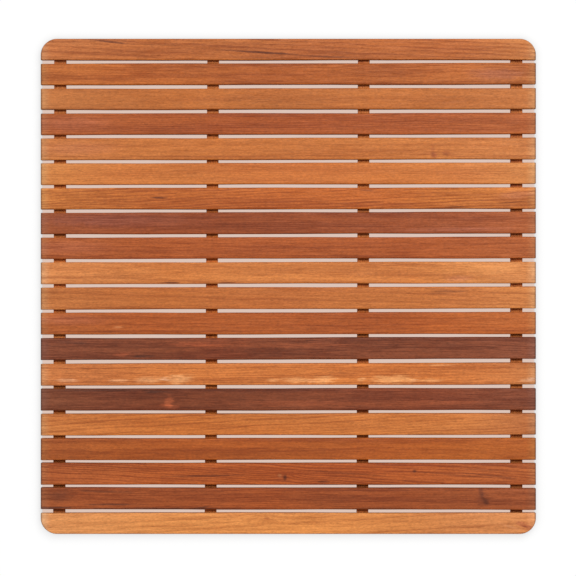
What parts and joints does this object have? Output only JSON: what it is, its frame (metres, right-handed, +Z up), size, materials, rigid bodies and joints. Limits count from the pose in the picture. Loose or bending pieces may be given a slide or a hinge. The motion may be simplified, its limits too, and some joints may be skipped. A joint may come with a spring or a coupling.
{
  "type": "slatted wooden bath mat",
  "caption": "Square slatted teak bath mat with rounded corners, its slats screwed to cross battens on rubber feet, with drainage gaps between the slats.",
  "frame": {"origin": "on the floor, under the centre of the mat", "axes": "+Z up through the deck, +X along the slats, +Y across the slats towards slat_01"},
  "size_m": [0.762, 0.762, 0.032],
  "materials": {
    "teak_straw": "oiled teak, straw tone, planed and sanded, satin",
    "teak_honey": "oiled teak, honey tone, planed and sanded, satin",
    "teak_amber": "oiled teak, amber tone, planed and sanded, satin",
    "teak_copper": "oiled teak, copper tone, planed and sanded, satin",
    "teak_russet": "oiled teak, russet tone, planed and sanded, satin",
    "teak_chestnut": "oiled teak, chestnut tone, planed and sanded, satin",
    "teak_umber": "oiled teak, umber tone, planed and sanded, satin",
    "teak_batten": "oiled teak, planed, satin",
    "stainless_steel": "passivated, satin",
    "black_rubber": "moulded, matt"
  },
  "bodies": {
    "root": {"slat_01": "teak_copper", "slat_02": "teak_copper", "slat_03": "teak_amber", "slat_04": "teak_russet", "slat_05": "teak_amber", "slat_06": "teak_honey", "slat_07": "teak_copper", "slat_08": "teak_chestnut", "slat_09": "teak_russet", "slat_10": "teak_honey", "slat_11": "teak_amber", "slat_12": "teak_russet", "slat_13": "teak_umber", "slat_14": "teak_honey", "slat_15": "teak_umber", "slat_16": "teak_amber", "slat_17": "teak_russet", "slat_18": "teak_russet", "slat_19": "teak_chestnut", "slat_20": "teak_straw", "batten_1": "teak_batten", "deck_screws_batten_1": "stainless_steel", "foot_1_1": "black_rubber", "foot_1_2": "black_rubber", "foot_1_3": "black_rubber", "foot_screws_batten_1": "stainless_steel", "batten_2": "teak_batten", "deck_screws_batten_2": "stainless_steel", "foot_2_1": "black_rubber", "foot_2_2": "black_rubber", "foot_2_3": "black_rubber", "foot_screws_batten_2": "stainless_steel", "batten_3": "teak_batten", "deck_screws_batten_3": "stainless_steel", "foot_3_1": "black_rubber", "foot_3_2": "black_rubber", "foot_3_3": "black_rubber", "foot_screws_batten_3": "stainless_steel", "batten_4": "teak_batten", "deck_screws_batten_4": "stainless_steel", "foot_4_1": "black_rubber", "foot_4_2": "black_rubber", "foot_4_3": "black_rubber", "foot_screws_batten_4": "stainless_steel"}
  },
  "joints": []
}
